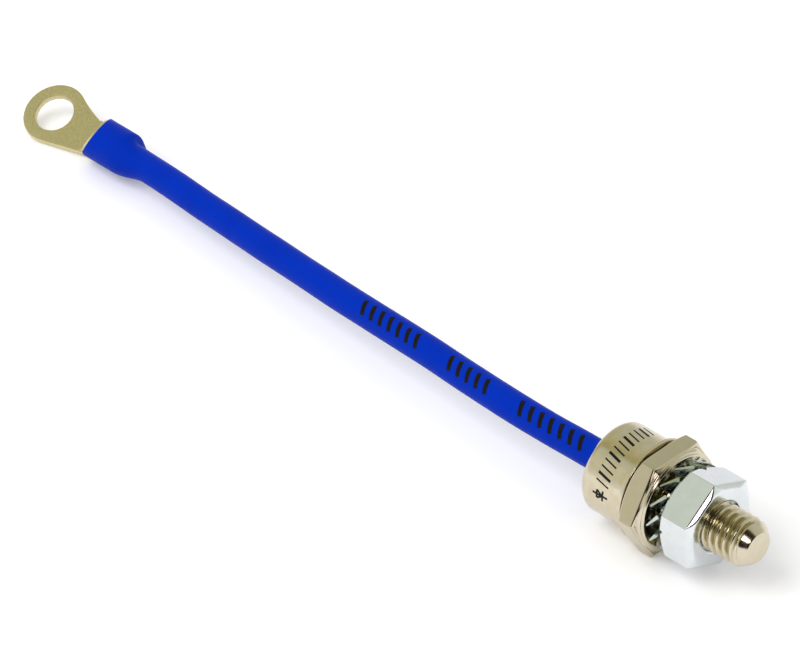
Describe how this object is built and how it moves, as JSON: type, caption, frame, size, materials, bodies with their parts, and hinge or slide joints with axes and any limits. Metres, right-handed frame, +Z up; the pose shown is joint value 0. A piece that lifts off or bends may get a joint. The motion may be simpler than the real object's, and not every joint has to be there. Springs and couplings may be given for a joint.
{
  "type": "stud diode",
  "caption": "Stud-mounted rectifier diode: hexagonal base with threaded stud, nut and toothed lock washer, round metal case and a blue sleeved lead that ends in a ring terminal.",
  "frame": {"origin": "centre of the base's seating face, on the stud's axis", "axes": "+X along the stud towards its tip, the lead leaves towards -X, +Z up as the part lies on a flat of its hexagon"},
  "size_m": [0.1706, 0.0258, 0.017],
  "materials": {
    "nickel_on_copper": "nickel plating over turned copper, warm and half bright",
    "nickel_on_steel": "nickel plating over drawn steel, warm and satin",
    "seal_glass": "dark sealing glass, smooth",
    "molybdenum": "lapped",
    "silicon": "etched",
    "silicone": "cast, matte",
    "copper": "bare copper",
    "blue_heat_shrink": "shrunk polyolefin, half gloss",
    "tinned_copper": "matte tin plating with a warm cast",
    "zinc_on_spring_steel": "zinc plating over stamped spring steel",
    "zinc_on_steel": "bright zinc plating over a cold-formed nut"
  },
  "bodies": {
    "root": {"base_stud": "nickel_on_copper", "case_cap": "nickel_on_steel", "glass_seal": "seal_glass", "lead_tube": "nickel_on_steel", "lower_disc": "molybdenum", "silicon_die": "silicon", "upper_disc": "molybdenum", "junction_coating": "silicone", "contact_cup": "copper", "inner_lead": "copper", "lead_conductor": "copper", "insulating_sleeve": "blue_heat_shrink", "ring_terminal": "tinned_copper", "lock_washer": "zinc_on_spring_steel", "hex_nut": "zinc_on_steel"}
  },
  "joints": []
}
